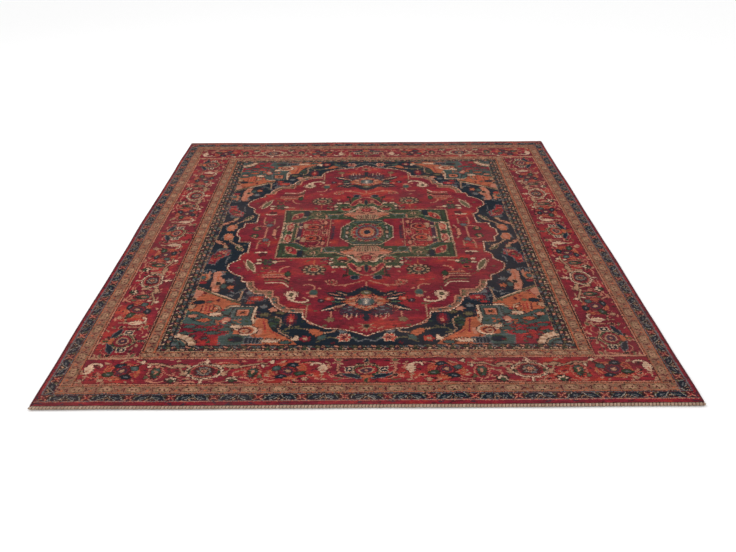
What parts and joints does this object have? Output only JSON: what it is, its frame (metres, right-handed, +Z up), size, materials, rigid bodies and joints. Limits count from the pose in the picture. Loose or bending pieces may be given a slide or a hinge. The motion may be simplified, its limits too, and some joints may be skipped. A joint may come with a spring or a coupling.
{
  "type": "area rug",
  "caption": "Flat rectangular hand-knotted area rug: lobed central medallion, corner pieces, framed borders, overcast side edges and whip-stitched ends.",
  "frame": {"origin": "on the floor under the rug's centre", "axes": "+Z up through the pile, +Y along the length from the near end to the far end, +X along the width"},
  "size_m": [2.438, 3.048, 0.008],
  "materials": {
    "cotton_ground": "plain-woven undyed cotton warp and weft, matt",
    "cotton_cord": "plied undyed cotton, matt",
    "red_wool": "low cut wool pile, crimson to orange-red banding, matt with a slight nap sheen",
    "dark_red_wool": "plain dark red wool, matt",
    "navy_wool": "low cut wool pile, dark navy, matt with a slight nap sheen",
    "camel_wool": "low cut wool pile, camel, matt with a slight nap sheen",
    "rust_wool": "low cut wool pile, rust with teal-grey and red figures, matt",
    "tan_yarn": "whip-stitched tan yarn with dark ticks, matt"
  },
  "bodies": {
    "root": {"foundation": "cotton_ground", "outer_band_near": "dark_red_wool", "outer_band_far": "dark_red_wool", "outer_band_left": "dark_red_wool", "outer_band_right": "dark_red_wool", "outer_guard_near": "navy_wool", "outer_guard_far": "navy_wool", "outer_guard_left": "navy_wool", "outer_guard_right": "navy_wool", "outer_tan_border_near": "camel_wool", "outer_tan_border_far": "camel_wool", "outer_tan_border_left": "camel_wool", "outer_tan_border_right": "camel_wool", "main_border_near": "red_wool", "main_border_far": "red_wool", "main_border_left": "red_wool", "main_border_right": "red_wool", "inner_tan_border_near": "camel_wool", "inner_tan_border_far": "camel_wool", "inner_tan_border_left": "camel_wool", "inner_tan_border_right": "camel_wool", "inner_guard_near": "navy_wool", "inner_guard_far": "navy_wool", "inner_guard_left": "navy_wool", "inner_guard_right": "navy_wool", "field_ground": "navy_wool", "medallion": "red_wool", "corner_piece_near_left": "rust_wool", "corner_piece_near_right": "rust_wool", "corner_piece_far_left": "rust_wool", "corner_piece_far_right": "rust_wool", "left_overcasting": "dark_red_wool", "left_selvedge_cord": "cotton_cord", "right_overcasting": "dark_red_wool", "right_selvedge_cord": "cotton_cord", "near_end_binding": "tan_yarn", "near_end_roll": "cotton_cord", "far_end_binding": "tan_yarn", "far_end_roll": "cotton_cord"}
  },
  "joints": []
}
